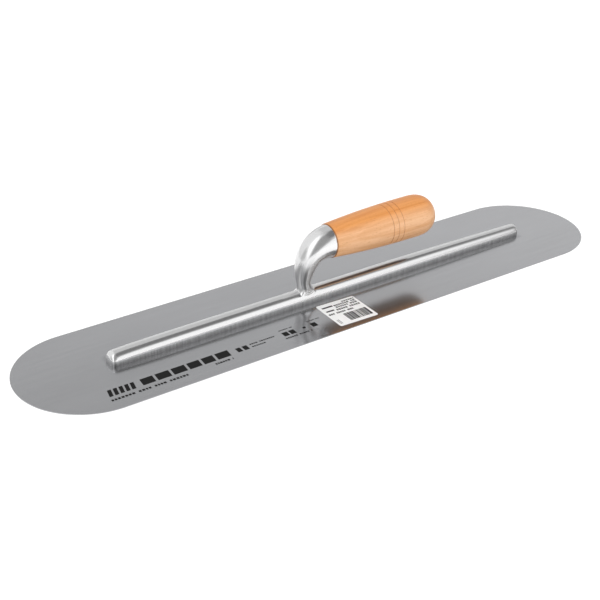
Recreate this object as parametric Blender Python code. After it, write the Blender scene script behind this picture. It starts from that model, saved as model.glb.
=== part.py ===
"""Steel finishing trowel with a round-ended blade, an aluminium mounting and a turned wooden handle.

Metres, +Z up. The origin is the middle of the blade's underside. +X runs along the blade, towards the
butt of the handle. The blade lies flat, with its working face down.
"""

from math import cos, pi, radians, sin

import bmesh
import bpy
from mathutils import Matrix, Vector

MM = 0.001
GAP = 0.3 * MM  # left between two pieces that touch on the real trowel

# Blade: a straight-sided plate whose ends are full half circles.
BLADE_LENGTH = 609.6 * MM
BLADE_WIDTH = 127.0 * MM
BLADE_THICKNESS = 0.7 * MM
BLADE_END_STEPS = 36

# Rivets: one row under the bar, heads flush with the working face.
RIVET_COUNT = 18
RIVET_PITCH = 25.4 * MM
RIVET_ROW_MIDDLE = 4.8 * MM
RIVET_RADIUS = 2.0 * MM
RIVET_HEAD_RADIUS = 3.1 * MM
RIVET_LENGTH = 7.0 * MM
RIVET_STEPS = 16

# Mounting bar: (x, half width, height) of its D section, which grows slimmer towards the far end.
BAR_BASE = BLADE_THICKNESS + GAP
BAR_STATIONS = (
    (-224.8 * MM, 7.9 * MM, 10.4 * MM),
    (-192.0 * MM, 8.0 * MM, 11.4 * MM),
    (95.0 * MM, 8.0 * MM, 11.6 * MM),
    (234.4 * MM, 7.3 * MM, 9.4 * MM),
)
BAR_TOP = BAR_BASE + 11.6 * MM
NEAR_END_ROUNDING = (  # way in from the end, share of the width, share of the height
    (0.0, 0.42, 0.50),
    (0.4 * MM, 0.66, 0.68),
    (1.2 * MM, 0.83, 0.80),
    (2.6 * MM, 0.95, 0.91),
    (4.4 * MM, 0.99, 0.975),
    (7.0 * MM, 1.0, 1.0),
)
FAR_END_ROUNDING = (
    (0.0, 0.42, 0.68),
    (0.4 * MM, 0.66, 0.83),
    (1.2 * MM, 0.83, 0.92),
    (2.6 * MM, 0.95, 0.98),
    (5.0 * MM, 1.0, 1.0),
)
BAR_CUTS = (-192.0 * MM, -130.0 * MM, -75.0 * MM, -44.0 * MM, -8.0 * MM, 30.0 * MM, 95.0 * MM, 165.0 * MM)
ARC_CORNERS = 10  # faces over the half-round top of the bar

# Gooseneck: a Bezier curve in the plane y = 0, from the bar's crest up and over to the handle.
HANDLE_AXIS_Z = 53.9 * MM
NECK_END_X = -3.6 * MM
NECK_FOOT = Vector((-29.2 * MM, 0.0, BAR_TOP))
NECK_RISE = Vector((-31.2 * MM, 0.0, 34.2 * MM))
NECK_TURN = Vector((-26.3 * MM, 0.0, HANDLE_AXIS_Z))
NECK_END = Vector((NECK_END_X, 0.0, HANDLE_AXIS_Z))
NECK_FOOT_RADIUS = 3.0 * MM
NECK_END_RADIUS = 15.3 * MM
NECK_GROWTH = 0.62  # the radius grows as this power of the way along the curve
NECK_RINGS = (0.13, 0.20, 0.29, 0.39, 0.50, 0.61, 0.73, 0.85, 0.94)

# Root of the neck: it grows from a patch of the bar's top, with a wide fillet on the side of the handle.
FOOT_CUTS = (-6.6 * MM, -3.5 * MM, 0.4 * MM, 4.5 * MM, 8.4 * MM)  # along X from the neck's foot
FOOT_FACES_ACROSS = 6
ROOT_RINGS = (  # way along, shift along X, half size along X, half size along Y, crease of its corners
    (0.022, 1.2 * MM, 7.2 * MM, 6.8 * MM, 1.0),
    (0.070, 0.3 * MM, 5.7 * MM, 6.7 * MM, 0.8),
)
OUTER_ROOT_CREASE = 1.0  # of the neck's meeting with the bar on its outer side, which has no fillet

# Tang: the round spigot inside the handle, tapped for the handle's screw.
TANG_RADIUS = 6.0 * MM
TANG_END_X = 60.0 * MM
TANG_CHAMFER = 0.6 * MM
SCREW_BORE_RADIUS = 2.8 * MM
SCREW_BORE_START_X = 40.0 * MM

# Handle: turned about its own axis, widest near the butt.
HANDLE_FRONT_X = NECK_END_X + GAP
HANDLE_TAPER_END_X = 92.8 * MM
HANDLE_BUTT_LENGTH = 23.0 * MM
HANDLE_FRONT_RADIUS = 15.8 * MM
HANDLE_RADIUS = 19.8 * MM
HANDLE_TAPER_POWER = 2.2
HANDLE_BUTT_POWER = 2.54
HANDLE_EDGE = 0.5 * MM
GROOVES_X = (58.0 * MM, 64.0 * MM, 70.0 * MM)
GROOVE_HALF_WIDTH = 0.5 * MM
GROOVE_DEPTH = 0.5 * MM
HANDLE_STEPS = 40

# Handle screw and washer, sunk in a recess in the butt.
RECESS_RADIUS = 6.6 * MM
RECESS_FLOOR_X = 107.6 * MM
WASHER_RADIUS = 6.0 * MM
WASHER_THICKNESS = 1.0 * MM
SCREW_RADIUS = 2.5 * MM
SCREW_HEAD_RADIUS = 4.7 * MM
SCREW_HEAD_HEIGHT = 2.8 * MM
SCREW_TIP_X = 44.0 * MM
SCREW_SLOT_WIDTH = 1.2 * MM
SCREW_SLOT_DEPTH = 1.3 * MM
SCREW_STEPS = 24

# Label: a square sticker in front of the neck.
LABEL_CENTRE = (-7.6 * MM, -37.0 * MM)
LABEL_SIZE = (40.8 * MM, 40.3 * MM)
LABEL_TURN = radians(-2.0)
LABEL_THICKNESS = 0.15 * MM
LABEL_CORNER = 2.0 * MM


def clear_scene():
    for obj in list(bpy.data.objects):
        bpy.data.objects.remove(obj, do_unlink=True)


def material(name, colour, roughness, metallic=0.0):
    made = bpy.data.materials.new(name)
    made.use_nodes = True
    shader = made.node_tree.nodes["Principled BSDF"]
    shader.inputs["Base Color"].default_value = (*colour, 1.0)
    shader.inputs["Roughness"].default_value = roughness
    shader.inputs["Metallic"].default_value = metallic
    return made


def node(name, mesh, finish, parent, smooth_angle=30.0):
    """Makes the named object for a finished mesh and parents it."""
    mesh.materials.clear()
    mesh.materials.append(finish)
    mesh.shade_smooth()
    mesh.set_sharp_from_angle(angle=radians(smooth_angle))
    obj = bpy.data.objects.new(name, mesh)
    bpy.context.scene.collection.objects.link(obj)
    obj.parent = parent
    return obj


def mesh_from(bm, name):
    bmesh.ops.recalc_face_normals(bm, faces=bm.faces)
    mesh = bpy.data.meshes.new(name)
    bm.to_mesh(mesh)
    bm.free()
    return mesh


def plate_mesh(name, outline, bottom, thickness):
    """A flat plate from an outline of (x, y) points."""
    bm = bmesh.new()
    face = bm.faces.new([bm.verts.new((x, y, bottom)) for x, y in outline])
    raised = bmesh.ops.extrude_face_region(bm, geom=[face])
    top = [item for item in raised["geom"] if isinstance(item, bmesh.types.BMVert)]
    bmesh.ops.translate(bm, verts=top, vec=(0.0, 0.0, thickness))
    return mesh_from(bm, name)


def turned_mesh(name, profile, steps):
    """Turns a closed loop of (x, radius) points about the X axis. Points on the axis become one point."""
    bm = bmesh.new()
    loop = [bm.verts.new((x, 0.0, radius)) for x, radius in profile]
    on_axis = profile[0][1] == 0.0
    pairs = list(zip(loop, loop[1:]))
    if not on_axis:
        pairs.append((loop[-1], loop[0]))
    edges = [bm.edges.new(pair) for pair in pairs]
    bmesh.ops.spin(
        bm,
        geom=loop + edges,
        cent=(0.0, 0.0, 0.0),
        axis=(1.0, 0.0, 0.0),
        angle=2.0 * pi,
        steps=steps,
        use_merge=True,
    )
    bmesh.ops.remove_doubles(bm, verts=bm.verts, dist=0.001 * MM)
    return mesh_from(bm, name)


def helper(name, mesh, parent):
    """A cutter or a tool for a Boolean: drawn as wire and left out of the model."""
    obj = bpy.data.objects.new(name, mesh)
    bpy.context.scene.collection.objects.link(obj)
    obj.parent = parent
    obj.hide_render = True
    obj.display_type = "WIRE"
    return obj


def add_boolean(obj, operation, tool):
    modifier = obj.modifiers.new(tool.name, "BOOLEAN")
    modifier.operation = operation
    modifier.solver = "EXACT"
    modifier.object = tool


def rivet_places():
    first = RIVET_ROW_MIDDLE - RIVET_PITCH * (RIVET_COUNT - 1) / 2.0
    return [first + RIVET_PITCH * index for index in range(RIVET_COUNT)]


def stand_up(mesh):
    """Turns a mesh made along +X so that it stands along +Z."""
    mesh.transform(Matrix.Rotation(-pi / 2.0, 4, "Y"))


def pins_mesh(name, profile, places):
    """One mesh of equal upright pins, for cutting a row of holes."""
    bm = bmesh.new()
    single = turned_mesh(name + "_single", profile, RIVET_STEPS)
    stand_up(single)
    for x in places:
        copy = single.copy()
        copy.transform(Matrix.Translation((x, 0.0, 0.0)))
        bm.from_mesh(copy)
        bpy.data.meshes.remove(copy)
    bpy.data.meshes.remove(single)
    return mesh_from(bm, name)


def make_blade(parent, finish):
    radius = BLADE_WIDTH / 2.0
    middle = BLADE_LENGTH / 2.0 - radius
    turns = [pi * step / BLADE_END_STEPS - pi / 2.0 for step in range(BLADE_END_STEPS + 1)]
    outline = [(middle + radius * cos(turn), radius * sin(turn)) for turn in turns]
    outline += [(-x, -y) for x, y in outline]
    blade = node("blade", plate_mesh("blade", outline, 0.0, BLADE_THICKNESS), finish, parent)
    # The countersunk hole follows the rivet's head and shank at the clearance, past both faces.
    slope = (RIVET_HEAD_RADIUS - RIVET_RADIUS) / BLADE_THICKNESS
    below, above = -1.0 * MM, BLADE_THICKNESS + 1.0 * MM
    wide = RIVET_HEAD_RADIUS + GAP
    narrow = RIVET_RADIUS + GAP
    profile = (
        (below, 0.0),
        (below, wide - slope * below),
        (BLADE_THICKNESS, narrow),
        (above, narrow),
        (above, 0.0),
    )
    holes = helper("blade_holes", pins_mesh("blade_holes", profile, rivet_places()), parent)
    add_boolean(blade, "DIFFERENCE", holes)
    return blade


def make_rivets(parent, finish):
    profile = (
        (0.0, 0.0),
        (0.0, RIVET_HEAD_RADIUS),
        (BLADE_THICKNESS, RIVET_RADIUS),
        (RIVET_LENGTH - 0.4 * MM, RIVET_RADIUS),
        (RIVET_LENGTH, RIVET_RADIUS - 0.4 * MM),
        (RIVET_LENGTH, 0.0),
    )
    mesh = turned_mesh("rivet", profile, RIVET_STEPS)
    stand_up(mesh)
    for index, x in enumerate(rivet_places(), start=1):
        rivet = node(f"rivet_{index:02d}", mesh, finish, parent)
        rivet.location = (x, 0.0, 0.0)


def bar_size(x):
    """Half width and height of the bar at x, between the stations that it is given at."""
    for (x0, width0, height0), (x1, width1, height1) in zip(BAR_STATIONS, BAR_STATIONS[1:]):
        if x <= x1:
            part = (x - x0) / (x1 - x0)
            return width0 + (width1 - width0) * part, height0 + (height1 - height0) * part
    return BAR_STATIONS[-1][1:]


def cage_factor(corners):
    """How much a subdivided ring of this many corners shrinks."""
    return (2.0 + cos(2.0 * pi / corners)) / 3.0


def bar_section(x, width_share, height_share):
    """The bar's D section: base middle, base corner at -Y, the round top, base corner at +Y."""
    half_width, height = bar_size(x)
    wall = height - half_width
    radius = half_width / cage_factor(2 * ARC_CORNERS)
    turns = [pi * step / ARC_CORNERS for step in range(ARC_CORNERS + 1)]
    flat = [(0.0, 0.0), (-half_width, 0.0)]
    flat += [(-radius * cos(turn), wall + radius * sin(turn)) for turn in turns]
    flat.append((half_width, 0.0))
    return [Vector((x, y * width_share, BAR_BASE + z * height_share)) for y, z in flat]


def bar_cuts():
    """(x, share of the width, share of the height) of each ring of the bar's cage, with its rounded ends."""
    start, end = BAR_STATIONS[0][0], BAR_STATIONS[-1][0]
    foot = [NECK_FOOT.x + offset for offset in FOOT_CUTS]
    cuts = [(start + inward, *shares) for inward, *shares in NEAR_END_ROUNDING]
    cuts += [(x, 1.0, 1.0) for x in sorted((*BAR_CUTS, *foot))]
    cuts += [(end - inward, *shares) for inward, *shares in reversed(FAR_END_ROUNDING)]
    return cuts


def neck_point(way):
    """Centre, normal and radius of the gooseneck at this way along its curve."""
    back = 1.0 - way
    centre = (
        back**3 * NECK_FOOT
        + 3.0 * back**2 * way * NECK_RISE
        + 3.0 * back * way**2 * NECK_TURN
        + way**3 * NECK_END
    )
    along = (
        back**2 * (NECK_RISE - NECK_FOOT)
        + 2.0 * back * way * (NECK_TURN - NECK_RISE)
        + way**2 * (NECK_END - NECK_TURN)
    ).normalized()
    normal = Vector((along.z, 0.0, -along.x))
    radius = NECK_FOOT_RADIUS + (NECK_END_RADIUS - NECK_FOOT_RADIUS) * way**NECK_GROWTH
    return centre, normal, radius


def neck_rings():
    """Every ring of the neck's cage: (centre, normal, half size along the normal, half size along Y, crease).

    The last rings step in from the flange to the tang, run out to its end and back down its tapped bore.
    """
    rings = []
    for way, shift, along_x, along_y, _ in ROOT_RINGS:
        centre, normal, _ = neck_point(way)
        rings.append((centre + normal * shift, normal, along_x, along_y, 0.0))
    for way in NECK_RINGS:
        centre, normal, radius = neck_point(way)
        rings.append((centre, normal, radius, radius, 0.0))
    tang = (
        (NECK_END_X, NECK_END_RADIUS, 0.9),
        (NECK_END_X, TANG_RADIUS, 1.0),
        (TANG_END_X - TANG_CHAMFER, TANG_RADIUS, 1.0),
        (TANG_END_X, TANG_RADIUS - TANG_CHAMFER, 1.0),
        (TANG_END_X, SCREW_BORE_RADIUS, 1.0),
        (SCREW_BORE_START_X, SCREW_BORE_RADIUS, 1.0),
    )
    down = Vector((0.0, 0.0, -1.0))
    for x, radius, crease in tang:
        rings.append((Vector((x, 0.0, HANDLE_AXIS_Z)), down, radius, radius, crease))
    return rings


def bar_cage(bm):
    """The bar's faces, open at the top where the neck grows. Returns its rings and that opening's edge."""
    cuts = bar_cuts()
    rings = [[bm.verts.new(point) for point in bar_section(*cut)] for cut in cuts]
    count = len(rings[0])
    first = min(range(len(cuts)), key=lambda i: abs(cuts[i][0] - (NECK_FOOT.x + FOOT_CUTS[0])))
    last = first + len(FOOT_CUTS) - 1
    crest = 2 + ARC_CORNERS // 2
    low, high = crest - FOOT_FACES_ACROSS // 2, crest + FOOT_FACES_ACROSS // 2
    for i in range(len(rings) - 1):
        for j in range(count):
            if first <= i < last and low <= j < high:
                continue
            k = (j + 1) % count
            bm.faces.new((rings[i][j], rings[i][k], rings[i + 1][k], rings[i + 1][j]))
    bm.faces.new(rings[0])
    bm.faces.new(reversed(rings[-1]))
    for i in range(first + 1, last):
        for j in range(low + 1, high):
            bm.verts.remove(rings[i][j])

    # The opening's edge, in turn from +X through +Y, -X and -Y.
    walk = [(last, j) for j in range(crest, high + 1)]
    walk += [(i, high) for i in range(last - 1, first - 1, -1)]
    walk += [(first, j) for j in range(high - 1, low - 1, -1)]
    walk += [(i, low) for i in range(first + 1, last + 1)]
    walk += [(last, j) for j in range(low + 1, crest)]
    return rings, [rings[i][j] for i, j in walk]


def neck_cage(bm, opening):
    """The neck's and tang's faces, from the opening in the bar upwards. Returns the edges to crease."""
    corners = len(opening)
    factor = cage_factor(corners)
    creases = []
    below = opening
    fillet_corners = (FOOT_FACES_ACROSS // 2, corners - FOOT_FACES_ACROSS // 2)
    outer_start = fillet_corners[0] + len(FOOT_CUTS) - 1
    for step in range(outer_start, outer_start + FOOT_FACES_ACROSS):
        creases.append((opening[step], opening[step + 1], OUTER_ROOT_CREASE))
    for index, (centre, normal, along_normal, along_y, crease) in enumerate(neck_rings()):
        ring = []
        for step in range(corners):
            turn = 2.0 * pi * step / corners
            out = normal * (along_normal * cos(turn) / factor)
            out += Vector((0.0, along_y * sin(turn) / factor, 0.0))
            ring.append(bm.verts.new(centre + out))
        for step in range(corners):
            after = (step + 1) % corners
            bm.faces.new((below[step], below[after], ring[after], ring[step]))
            if crease:
                creases.append((ring[step], ring[after], crease))
        if index < len(ROOT_RINGS):
            creases += [(below[step], ring[step], ROOT_RINGS[index][-1]) for step in fillet_corners]
        below = ring
    bm.faces.new(below)
    return creases


def mounting_mesh():
    """The casting's cage, which a Subdivision Surface modifier then smooths."""
    bm = bmesh.new()
    rings, opening = bar_cage(bm)
    creases = neck_cage(bm, opening)
    base_corners = (1, len(rings[0]) - 1)
    creases += [(a[j], b[j], 1.0) for a, b in zip(rings, rings[1:]) for j in base_corners]
    creases += [(end[0], end[j], 1.0) for end in (rings[0], rings[-1]) for j in base_corners]
    layer = bm.edges.layers.float.new("crease_edge")
    for first, second, crease in creases:
        bm.edges.get((first, second))[layer] = crease
    return mesh_from(bm, "mounting")


def make_mounting(parent, finish):
    mounting = node("mounting", mounting_mesh(), finish, parent, smooth_angle=40.0)
    smoothing = mounting.modifiers.new("smooth_casting", "SUBSURF")
    smoothing.levels = 1
    smoothing.render_levels = 1
    hole_profile = (
        (BAR_BASE - 1.0 * MM, 0.0),
        (BAR_BASE - 1.0 * MM, RIVET_RADIUS + GAP),
        (RIVET_LENGTH + GAP, RIVET_RADIUS + GAP),
        (RIVET_LENGTH + GAP, 0.0),
    )
    holes = helper("bar_holes", pins_mesh("bar_holes", hole_profile, rivet_places()), parent)
    add_boolean(mounting, "DIFFERENCE", holes)
    return mounting


def handle_radius(x):
    """Outer radius of the handle: a slow swell from the front, then a rounded butt."""
    if x <= HANDLE_TAPER_END_X:
        left = (HANDLE_TAPER_END_X - x) / (HANDLE_TAPER_END_X - HANDLE_FRONT_X)
        return HANDLE_RADIUS - (HANDLE_RADIUS - HANDLE_FRONT_RADIUS) * left**HANDLE_TAPER_POWER
    part = min(1.0, (x - HANDLE_TAPER_END_X) / HANDLE_BUTT_LENGTH)
    return HANDLE_RADIUS * (1.0 - part**HANDLE_BUTT_POWER) ** (1.0 / HANDLE_BUTT_POWER)


def handle_outline():
    """(x, radius) of the turned outside, from the front edge to the rim of the recess in the butt."""
    points = [
        (HANDLE_FRONT_X, handle_radius(HANDLE_FRONT_X) - HANDLE_EDGE),
        (HANDLE_FRONT_X + HANDLE_EDGE, handle_radius(HANDLE_FRONT_X + HANDLE_EDGE)),
    ]
    taper = [8.0 * MM, 20.0 * MM, 32.0 * MM, 45.0 * MM, 81.0 * MM]
    points += [(x, handle_radius(x)) for x in taper]
    for x in GROOVES_X:
        points.append((x - GROOVE_HALF_WIDTH, handle_radius(x)))
        points.append((x, handle_radius(x) - GROOVE_DEPTH))
        points.append((x + GROOVE_HALF_WIDTH, handle_radius(x)))
    points.sort()
    butt_steps = 12
    for step in range(butt_steps + 1):
        x = HANDLE_TAPER_END_X + HANDLE_BUTT_LENGTH * sin(pi / 2.0 * step / butt_steps)
        if handle_radius(x) > RECESS_RADIUS + 1.0 * MM:
            points.append((x, handle_radius(x)))
    rim = 1.0 - (RECESS_RADIUS / HANDLE_RADIUS) ** HANDLE_BUTT_POWER
    rim_x = HANDLE_TAPER_END_X + HANDLE_BUTT_LENGTH * rim ** (1.0 / HANDLE_BUTT_POWER)
    points.append((rim_x, RECESS_RADIUS))
    return points


def make_handle(parent, finish):
    inside = [
        (RECESS_FLOOR_X, RECESS_RADIUS),
        (RECESS_FLOOR_X, SCREW_BORE_RADIUS),
        (TANG_END_X + 1.0 * MM, SCREW_BORE_RADIUS),
        (TANG_END_X + 1.0 * MM, TANG_RADIUS + GAP),
        (HANDLE_FRONT_X, TANG_RADIUS + GAP),
    ]
    mesh = turned_mesh("handle", handle_outline() + inside, HANDLE_STEPS)
    handle = node("handle", mesh, finish, parent)
    handle.location = (0.0, 0.0, HANDLE_AXIS_Z)
    return handle


def make_washer(parent, finish):
    near = RECESS_FLOOR_X + GAP
    far = near + WASHER_THICKNESS
    inner = SCREW_RADIUS + GAP
    profile = ((near, inner), (near, WASHER_RADIUS), (far, WASHER_RADIUS), (far, inner))
    washer = node("handle_washer", turned_mesh("handle_washer", profile, SCREW_STEPS), finish, parent)
    washer.location = (0.0, 0.0, HANDLE_AXIS_Z)
    return washer


def make_screw(parent, finish):
    seat = RECESS_FLOOR_X + WASHER_THICKNESS + 2.0 * GAP
    top = seat + SCREW_HEAD_HEIGHT
    profile = (
        (SCREW_TIP_X, 0.0),
        (SCREW_TIP_X, SCREW_RADIUS - 0.8 * MM),
        (SCREW_TIP_X + 0.8 * MM, SCREW_RADIUS),
        (seat, SCREW_RADIUS),
        (seat, SCREW_HEAD_RADIUS),
        (top - 1.4 * MM, SCREW_HEAD_RADIUS),
        (top - 0.4 * MM, SCREW_HEAD_RADIUS - 0.9 * MM),
        (top, SCREW_HEAD_RADIUS - 2.4 * MM),
        (top, 0.0),
    )
    screw = node("handle_screw", turned_mesh("handle_screw", profile, SCREW_STEPS), finish, parent)
    screw.location = (0.0, 0.0, HANDLE_AXIS_Z)
    bm = bmesh.new()
    size = (2.0 * SCREW_SLOT_DEPTH, 3.0 * SCREW_HEAD_RADIUS, SCREW_SLOT_WIDTH)
    bmesh.ops.create_cube(bm, size=1.0, matrix=Matrix.Diagonal((*size, 1.0)))
    slot = helper("screw_slot", mesh_from(bm, "screw_slot"), parent)
    slot.location = (top, 0.0, HANDLE_AXIS_Z)
    slot.rotation_euler = (radians(35.0), 0.0, 0.0)
    add_boolean(screw, "DIFFERENCE", slot)
    return screw


def make_label(parent, finish):
    half_length, half_width = LABEL_SIZE[0] / 2.0, LABEL_SIZE[1] / 2.0
    outline = []
    for quarter, (side_x, side_y) in enumerate(((1, 1), (-1, 1), (-1, -1), (1, -1))):
        corner_x = side_x * (half_length - LABEL_CORNER)
        corner_y = side_y * (half_width - LABEL_CORNER)
        for step in range(5):
            turn = pi / 2.0 * (quarter + step / 4.0)
            outline.append((corner_x + LABEL_CORNER * cos(turn), corner_y + LABEL_CORNER * sin(turn)))
    mesh = plate_mesh("label", outline, 0.0, LABEL_THICKNESS)
    label = node("label", mesh, finish, parent)
    label.location = (*LABEL_CENTRE, BLADE_THICKNESS + GAP)
    label.rotation_euler = (0.0, 0.0, LABEL_TURN)
    return label


def main():
    clear_scene()
    trowel = bpy.data.objects.new("trowel", None)
    bpy.context.scene.collection.objects.link(trowel)
    steel = material("blade_steel", (0.42, 0.42, 0.43), 0.32, 1.0)
    aluminium = material("polished_aluminium", (0.78, 0.78, 0.79), 0.16, 1.0)
    rivet_steel = material("rivet_steel", (0.50, 0.50, 0.51), 0.35, 1.0)
    beech = material("beech", (0.78, 0.44, 0.20), 0.45)
    zinc = material("zinc_plated_steel", (0.60, 0.60, 0.58), 0.30, 1.0)
    paper = material("label_paper", (0.90, 0.90, 0.90), 0.60)
    make_blade(trowel, steel)
    make_mounting(trowel, aluminium)
    make_rivets(trowel, rivet_steel)
    make_handle(trowel, beech)
    make_washer(trowel, zinc)
    make_screw(trowel, zinc)
    make_label(trowel, paper)


main()
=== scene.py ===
"""Looks of the steel finishing trowel: its visible pieces, their materials, the floor, light and camera."""

import random
from math import asin, cos, pi, radians, sin

import bmesh
import bpy
from mathutils import Matrix, Vector


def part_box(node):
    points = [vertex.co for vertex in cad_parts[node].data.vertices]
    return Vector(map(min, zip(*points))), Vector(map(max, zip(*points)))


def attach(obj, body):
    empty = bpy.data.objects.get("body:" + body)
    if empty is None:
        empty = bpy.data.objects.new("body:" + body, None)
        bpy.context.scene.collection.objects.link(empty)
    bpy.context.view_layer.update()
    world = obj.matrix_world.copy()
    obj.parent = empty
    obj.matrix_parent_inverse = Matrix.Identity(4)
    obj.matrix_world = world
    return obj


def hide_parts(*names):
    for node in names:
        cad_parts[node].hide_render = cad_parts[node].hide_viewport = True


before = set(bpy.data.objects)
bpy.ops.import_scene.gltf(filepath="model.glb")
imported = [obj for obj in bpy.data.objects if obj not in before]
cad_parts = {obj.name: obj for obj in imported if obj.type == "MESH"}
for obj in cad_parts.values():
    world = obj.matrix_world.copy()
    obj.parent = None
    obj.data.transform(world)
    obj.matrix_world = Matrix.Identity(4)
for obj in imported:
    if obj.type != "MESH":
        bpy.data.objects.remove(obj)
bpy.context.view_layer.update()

MM = 0.001

# ---------------------------------------------------------------- sizes taken from the frame
BLADE_LOW, BLADE_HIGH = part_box("blade")
BLADE_TOP = BLADE_HIGH.z
BLADE_RADIUS = (BLADE_HIGH.y - BLADE_LOW.y) / 2.0
BLADE_MIDDLE = BLADE_HIGH.x - BLADE_RADIUS
HANDLE_LOW, HANDLE_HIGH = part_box("handle")
HANDLE_AXIS_Z = (HANDLE_LOW.z + HANDLE_HIGH.z) / 2.0
LABEL_LOW, LABEL_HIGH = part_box("label")
RIVETS = sorted(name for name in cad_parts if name.startswith("rivet_"))

# ---------------------------------------------------------------- blade and rivets
BLADE_END_STEPS = 90
EDGE_BEVEL = 0.12 * MM
RIVET_RADIUS = 2.0 * MM
RIVET_HEAD_RADIUS = 3.1 * MM
RIVET_LENGTH = 7.0 * MM
RIVET_GAP = 0.12 * MM
RIVET_RIM = 0.05 * MM
RIVET_TIP = 0.4 * MM
RIVET_STEPS = 48

# ---------------------------------------------------------------- mounting, as in the frame but finer
BAR_BASE = BLADE_TOP + 0.01 * MM
BAR_STATIONS = (
    (-224.8 * MM, 7.9 * MM, 10.4 * MM),
    (-192.0 * MM, 8.0 * MM, 11.4 * MM),
    (95.0 * MM, 8.0 * MM, 11.6 * MM),
    (234.4 * MM, 7.3 * MM, 9.4 * MM),
)
BAR_LIFT = 0.3 * MM
BAR_TOP = BLADE_TOP + BAR_LIFT + 11.6 * MM
NEAR_END_ROUNDING = (  # way in from the end, share of the width, share of the height
    (0.0, 0.42, 0.50),
    (0.4 * MM, 0.66, 0.68),
    (1.2 * MM, 0.83, 0.80),
    (2.6 * MM, 0.95, 0.91),
    (4.4 * MM, 0.99, 0.975),
    (7.0 * MM, 1.0, 1.0),
)
FAR_END_ROUNDING = (
    (0.0, 0.42, 0.68),
    (0.4 * MM, 0.66, 0.83),
    (1.2 * MM, 0.83, 0.92),
    (2.6 * MM, 0.95, 0.98),
    (5.0 * MM, 1.0, 1.0),
)
BAR_CUTS = (-192.0 * MM, -130.0 * MM, -75.0 * MM, -44.0 * MM, -8.0 * MM, 30.0 * MM, 95.0 * MM, 165.0 * MM)
ARC_CORNERS = 10

NECK_END_X = -3.6 * MM
NECK_FOOT = Vector((-29.2 * MM, 0.0, BAR_TOP))
NECK_RISE = Vector((-31.2 * MM, 0.0, 34.2 * MM))
NECK_TURN = Vector((-26.3 * MM, 0.0, HANDLE_AXIS_Z))
NECK_END = Vector((NECK_END_X, 0.0, HANDLE_AXIS_Z))
NECK_FOOT_RADIUS = 3.0 * MM
NECK_END_RADIUS = 15.3 * MM
NECK_GROWTH = 0.62
NECK_RINGS = (0.13, 0.20, 0.29, 0.39, 0.50, 0.61, 0.73, 0.85, 0.94)
FOOT_CUTS = (-6.6 * MM, -3.5 * MM, 0.4 * MM, 4.5 * MM, 8.4 * MM)
FOOT_FACES_ACROSS = 6
NECK_MAP_RADIUS = 9.0 * MM
ROOT_RINGS = (  # way along the neck, shift along its normal, half sizes along the normal and Y, crease
    (0.022, 1.2 * MM, 7.2 * MM, 6.8 * MM, 1.0),
    (0.070, 0.3 * MM, 5.7 * MM, 6.7 * MM, 0.8),
)
OUTER_ROOT_CREASE = 1.0
TANG_RADIUS = 6.0 * MM
TANG_END_X = 60.0 * MM
TANG_BORE_END_X = TANG_END_X + 1.0 * MM
SCREW_BORE_RADIUS = 2.8 * MM
SCREW_BORE_START_X = 40.0 * MM
MOUNTING_LEVELS = 3

# ---------------------------------------------------------------- handle, washer and screw
HANDLE_GAP = 0.3 * MM
HANDLE_FRONT_X = NECK_END_X + HANDLE_GAP
HANDLE_TAPER_END_X = 92.8 * MM
HANDLE_BUTT_LENGTH = 23.0 * MM
HANDLE_FRONT_RADIUS = 15.8 * MM
HANDLE_RADIUS = 19.8 * MM
HANDLE_TAPER_POWER = 2.2
HANDLE_BUTT_POWER = 2.54
HANDLE_EDGE = 0.5 * MM
HANDLE_TAPER_STEPS = 48
HANDLE_BUTT_STEPS = 40
GROOVES_X = (58.0 * MM, 64.0 * MM, 70.0 * MM)
GROOVE_HALF_WIDTH = 0.5 * MM
GROOVE_DEPTH = 0.5 * MM
GROOVE_CLEAR = 1.6 * GROOVE_HALF_WIDTH
GROOVE_STEPS = 8
HANDLE_STEPS = 128
RECESS_RADIUS = 6.6 * MM
RECESS_RIM = 0.6 * MM
RECESS_FLOOR_X = 107.6 * MM
SCREW_RADIUS = 2.5 * MM
SCREW_HEAD_RADIUS = 4.7 * MM
SCREW_HEAD_HEIGHT = 2.8 * MM
SCREW_HEAD_EDGE = 0.15 * MM
SCREW_BRIM = 1.4 * MM
SCREW_TIP = 0.8 * MM
SCREW_SLOT = (1.3 * MM, 1.2 * MM)  # depth and width
SCREW_SLOT_TURN = radians(35.0)
WASHER_RADIUS = 6.0 * MM
WASHER_EDGE = 0.2 * MM
SMALL_STEPS = 64

# ---------------------------------------------------------------- label and printing
LABEL_CENTRE = (LABEL_LOW + LABEL_HIGH) / 2.0
LABEL_SIZE = (40.8 * MM, 40.3 * MM)
LABEL_TURN = radians(-2.0)
LABEL_THICKNESS = 0.08 * MM
LABEL_CORNER = 2.0 * MM
LABEL_GAP = 0.01 * MM
INK = 0.015 * MM
INK_GAP = 0.002 * MM

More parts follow.
